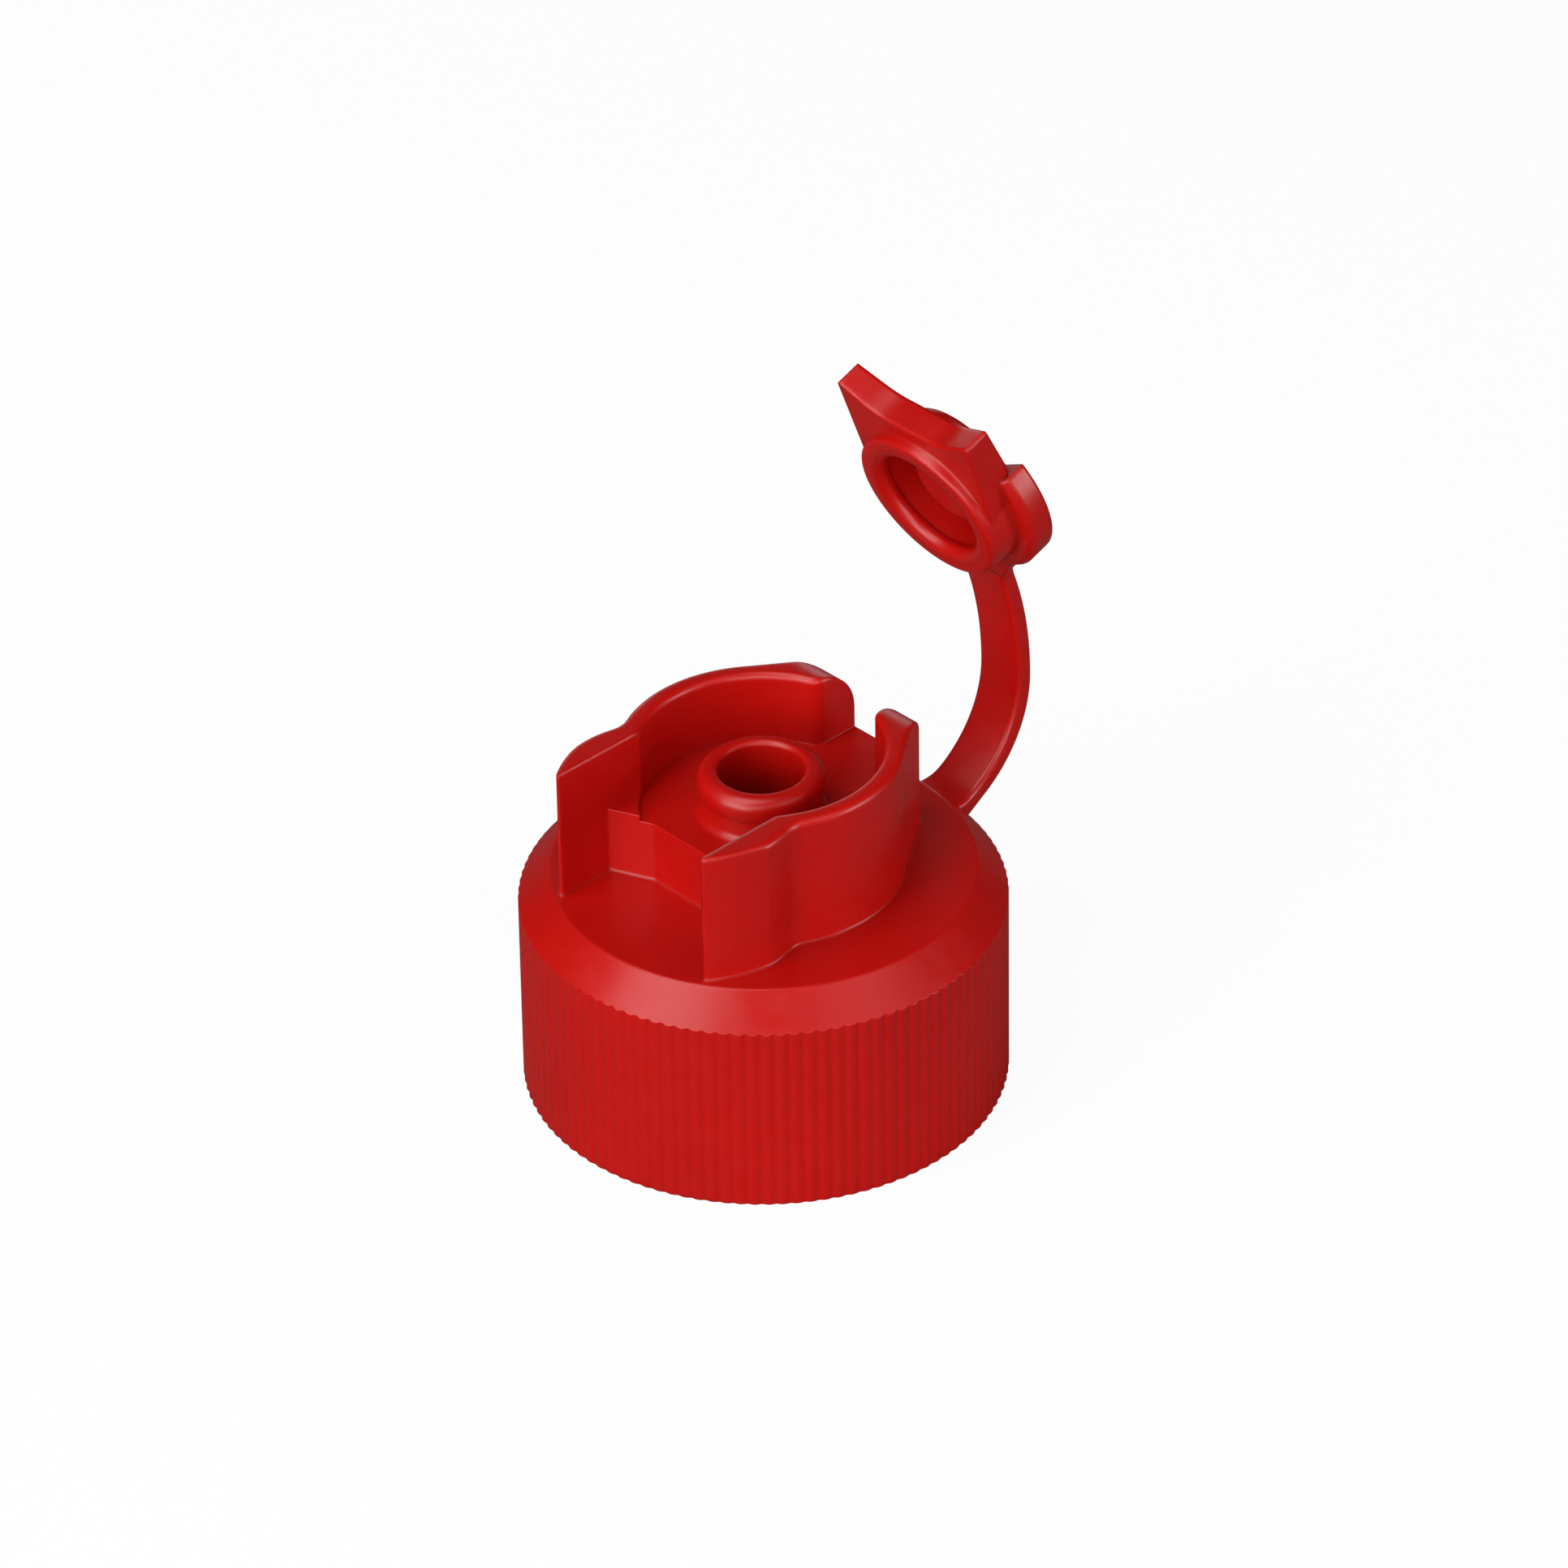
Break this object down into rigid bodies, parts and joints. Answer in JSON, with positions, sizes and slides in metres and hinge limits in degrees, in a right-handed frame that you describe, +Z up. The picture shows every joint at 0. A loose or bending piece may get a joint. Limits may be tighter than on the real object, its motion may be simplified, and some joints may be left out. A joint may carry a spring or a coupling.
{
  "type": "flip top cap",
  "caption": "Red moulded flip top cap: ribbed screw skirt, spout inside a lobed curb, and a snap lid standing open on a bowed strap.",
  "frame": {"origin": "on the cap's axis at its bottom rim, where the neck goes in", "axes": "+Z up along the cap's axis, -Y towards the curb's open front, +Y towards the strap, +X across, in line with the hinge lines"},
  "size_m": [0.038, 0.0463, 0.0534],
  "materials": {
    "red_polypropylene": "saturated red moulded polypropylene, semi-gloss with a fine satin grain"
  },
  "bodies": {
    "cap": {"cap": "red_polypropylene"},
    "strap": {"strap": "red_polypropylene"},
    "strap_tail": {"strap_tail": "red_polypropylene"},
    "lid": {"lid": "red_polypropylene"}
  },
  "joints": [
    {"name": "strap_root", "type": "hinge", "parent": "cap", "child": "strap", "pos_m": [0, 0.01995, 0.01505], "axis": [1, 0, 0], "range_deg": [0, 41.34], "stiffness_Nm_per_rad": 0.01},
    {"name": "lid_flip", "type": "hinge", "parent": "strap", "child": "strap_tail", "pos_m": [0, 0.02536, 0.03271], "axis": [1, 0, 0], "range_deg": [0, 28.56], "stiffness_Nm_per_rad": 0.004},
    {"name": "lid_press", "type": "slide", "parent": "strap_tail", "child": "lid", "axis": [0, -0.9391, -0.3437], "range_m": [0, 0.00398], "stiffness_N_per_m": 20}
  ],
  "couplings": [
    {"joint": "lid_flip", "follows": "strap_root", "ratio": 0.69094}
  ]
}
